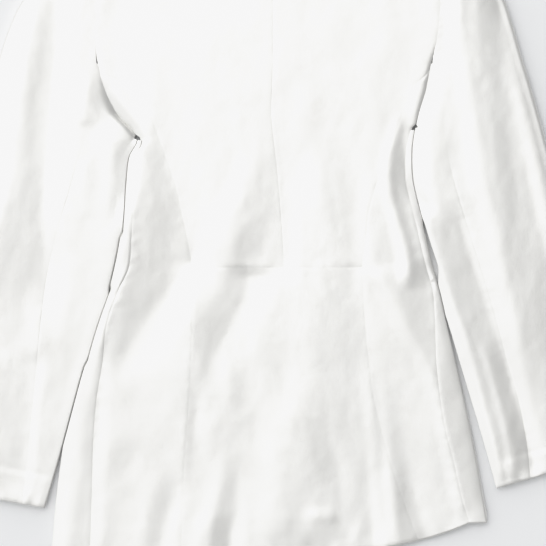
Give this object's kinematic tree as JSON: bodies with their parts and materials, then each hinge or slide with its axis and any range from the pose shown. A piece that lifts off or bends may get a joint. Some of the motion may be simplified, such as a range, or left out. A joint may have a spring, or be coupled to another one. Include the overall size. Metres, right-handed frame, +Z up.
{
  "type": "blazer",
  "caption": "Fitted blazer with a peplum, princess seams, two-piece sleeves, a notched collar and one button, laid flat with its back up.",
  "frame": {"origin": "on the surface under the middle of the garment's box", "axes": "+X to the wearer's right, +Y from the hem to the collar, +Z up from the surface, out of the back"},
  "size_m": [0.798, 0.7751, 0.014],
  "materials": {
    "satin": "white satin with a soft low sheen",
    "button": "gloss"
  },
  "bodies": {
    "root": {"back_center_L": "satin", "back_center_R": "satin", "back_side_L": "satin", "back_side_R": "satin", "peplum_center": "satin", "front_L": "satin", "front_R": "satin", "lapel_L": "satin", "lapel_R": "satin", "collar": "satin", "sleeve_top_L": "satin", "sleeve_top_R": "satin", "sleeve_under_L": "satin", "sleeve_under_R": "satin", "button": "button"}
  },
  "joints": []
}
